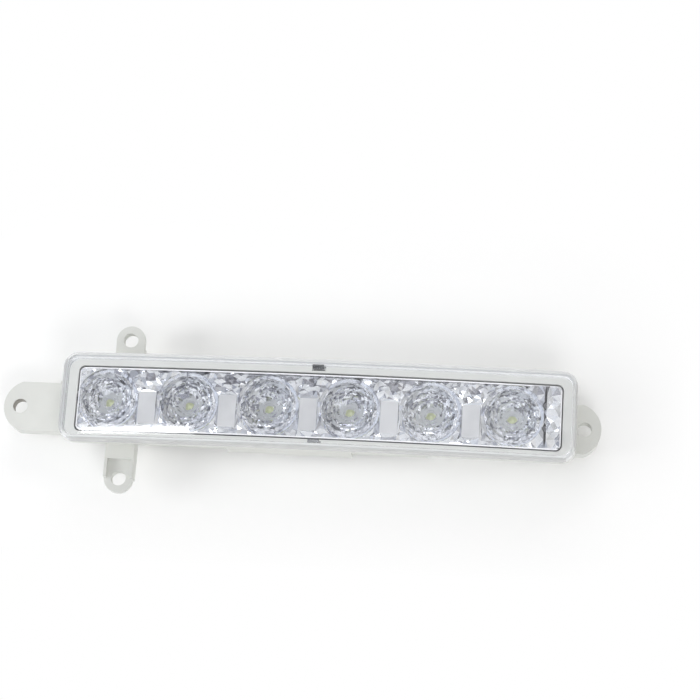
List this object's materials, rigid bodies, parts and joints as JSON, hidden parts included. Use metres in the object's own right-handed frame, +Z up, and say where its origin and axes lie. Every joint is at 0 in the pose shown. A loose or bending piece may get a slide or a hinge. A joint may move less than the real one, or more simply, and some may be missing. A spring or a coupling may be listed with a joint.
{
  "type": "daytime running light",
  "caption": "Slim daytime running light bar with a clear cover, faceted light cells, a ribbed moulded housing and screw ears and brackets.",
  "frame": {"origin": "midway between the two end screw holes, on the front face of the ears that seats on the bumper", "axes": "+X along the lamp towards the short ear, -Y out of the lit face, +Z up"},
  "size_m": [0.286, 0.044, 0.082],
  "materials": {
    "housing_plastic": "light grey moulded plastic with a fine grain",
    "cover_clear": "polished clear plastic",
    "seal_rubber": "matte sealing bead",
    "reflector_metal": "vacuum metallised plastic",
    "optic_clear": "polished clear plastic with cut facets",
    "led_package": "white package with a yellow-green emitter",
    "board_white": "white solder mask",
    "chip_black": "matte moulded package",
    "capacitor_can": "satin can",
    "terminal_tin": "tinned metal",
    "cap_rubber": "smooth navy blue rubber",
    "membrane_white": "porous white membrane",
    "screw_steel": "zinc plated"
  },
  "bodies": {
    "root": {"housing": "housing_plastic", "outer_lens": "cover_clear", "lens_seal": "seal_rubber", "reflector": "reflector_metal", "optic_1": "optic_clear", "optic_2": "optic_clear", "optic_3": "optic_clear", "optic_4": "optic_clear", "optic_5": "optic_clear", "optic_6": "optic_clear", "led_1": "led_package", "led_2": "led_package", "led_3": "led_package", "led_4": "led_package", "led_5": "led_package", "led_6": "led_package", "led_board": "board_white", "driver_chip": "chip_black", "smoothing_capacitor": "capacitor_can", "surge_diode": "chip_black", "board_resistors": "chip_black", "terminal_1": "terminal_tin", "terminal_2": "terminal_tin", "breather_cap": "cap_rubber", "vent_membrane": "membrane_white", "board_screws": "screw_steel"}
  },
  "joints": []
}
